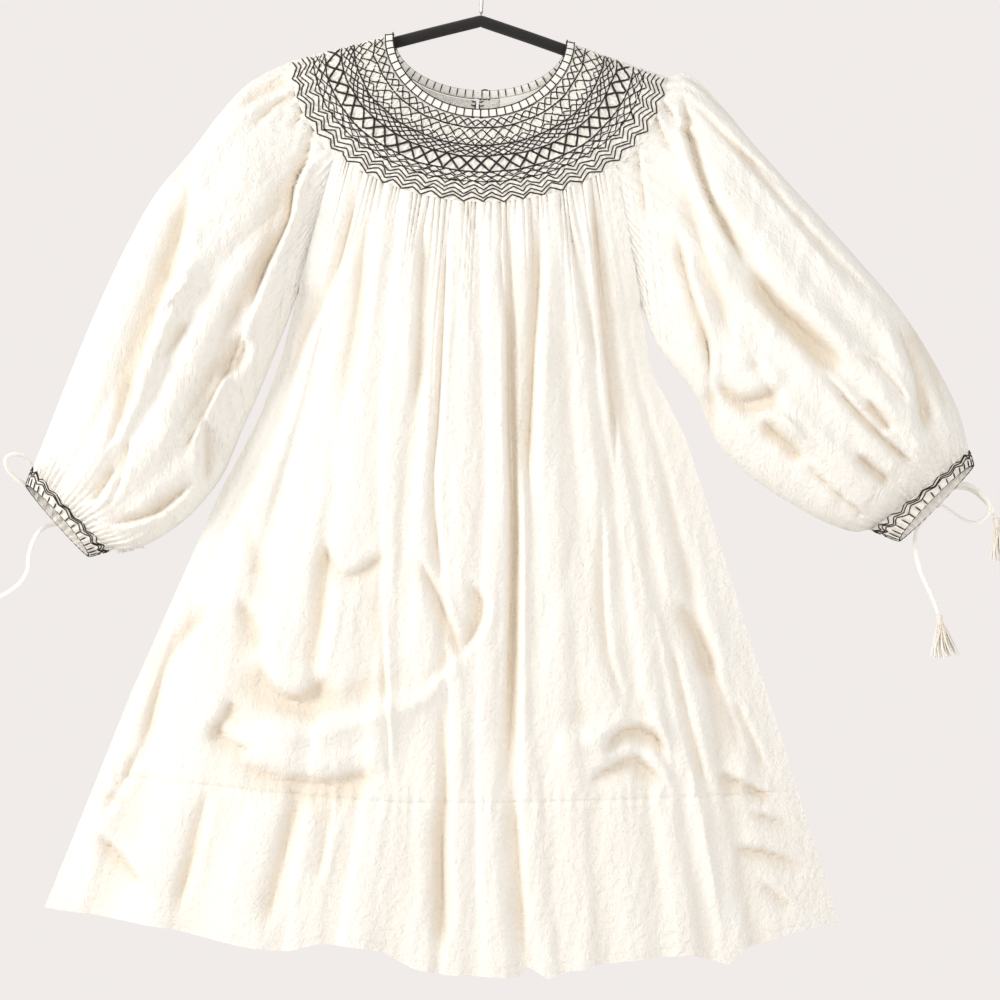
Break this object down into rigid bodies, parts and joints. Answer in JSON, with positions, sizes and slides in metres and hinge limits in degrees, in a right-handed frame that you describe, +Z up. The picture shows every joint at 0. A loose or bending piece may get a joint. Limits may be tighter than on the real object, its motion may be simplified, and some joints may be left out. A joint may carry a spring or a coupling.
{
  "type": "mini dress on a clothes hanger",
  "caption": "Loose off-white mini dress with a smocked round yoke, gathered body, deep hem band, puffed raglan sleeves and tasselled cuff ties, on a slim hanger.",
  "frame": {"origin": "inner top of the hanger's hook, where a rail carries it", "axes": "+X to the viewer's right across the dress, +Y from the front to the back, +Z up"},
  "size_m": [0.9856, 0.1063, 0.9673],
  "materials": {
    "yoke_front": "crinkled cotton",
    "yoke_back": "crinkled cotton",
    "neck_binding": "crinkled cotton",
    "body_front": "crinkled cotton",
    "body_back": "crinkled cotton",
    "hem_band_front": "crinkled cotton",
    "hem_band_back": "crinkled cotton",
    "sleeve_left": "crinkled cotton",
    "sleeve_right": "crinkled cotton",
    "cuff_left": "crinkled cotton",
    "cuff_right": "crinkled cotton",
    "neck_label": "cotton thread",
    "neck_button": "satin",
    "neck_loop": "crinkled cotton",
    "hanger": "flocked",
    "hanger_hook": "satin",
    "tie_left_knot": "crinkled cotton",
    "tie_right_knot": "crinkled cotton",
    "tie_left_loop": "crinkled cotton",
    "tie_right_loop": "crinkled cotton",
    "tie_left_shown": "crinkled cotton",
    "tie_left_hidden": "crinkled cotton",
    "tie_right_side": "crinkled cotton",
    "tie_right_down": "crinkled cotton",
    "tassel_left_shown": "cotton thread",
    "tassel_left_hidden": "cotton thread",
    "tassel_right_side": "cotton thread",
    "tassel_right_down": "cotton thread"
  },
  "bodies": {
    "root": {"yoke_front": "yoke_front", "yoke_back": "yoke_back", "neck_binding": "neck_binding", "body_front": "body_front", "body_back": "body_back", "hem_band_front": "hem_band_front", "hem_band_back": "hem_band_back", "sleeve_left": "sleeve_left", "sleeve_right": "sleeve_right", "cuff_left": "cuff_left", "cuff_right": "cuff_right", "neck_label": "neck_label", "neck_button": "neck_button", "neck_loop": "neck_loop", "hanger": "hanger", "hanger_hook": "hanger_hook", "tie_left_knot": "tie_left_knot", "tie_right_knot": "tie_right_knot", "tie_left_loop": "tie_left_loop", "tie_right_loop": "tie_right_loop", "tie_left_shown": "tie_left_shown", "tie_left_hidden": "tie_left_hidden", "tie_right_side": "tie_right_side", "tie_right_down": "tie_right_down", "tassel_left_shown": "tassel_left_shown", "tassel_left_hidden": "tassel_left_hidden", "tassel_right_side": "tassel_right_side", "tassel_right_down": "tassel_right_down"}
  },
  "joints": []
}
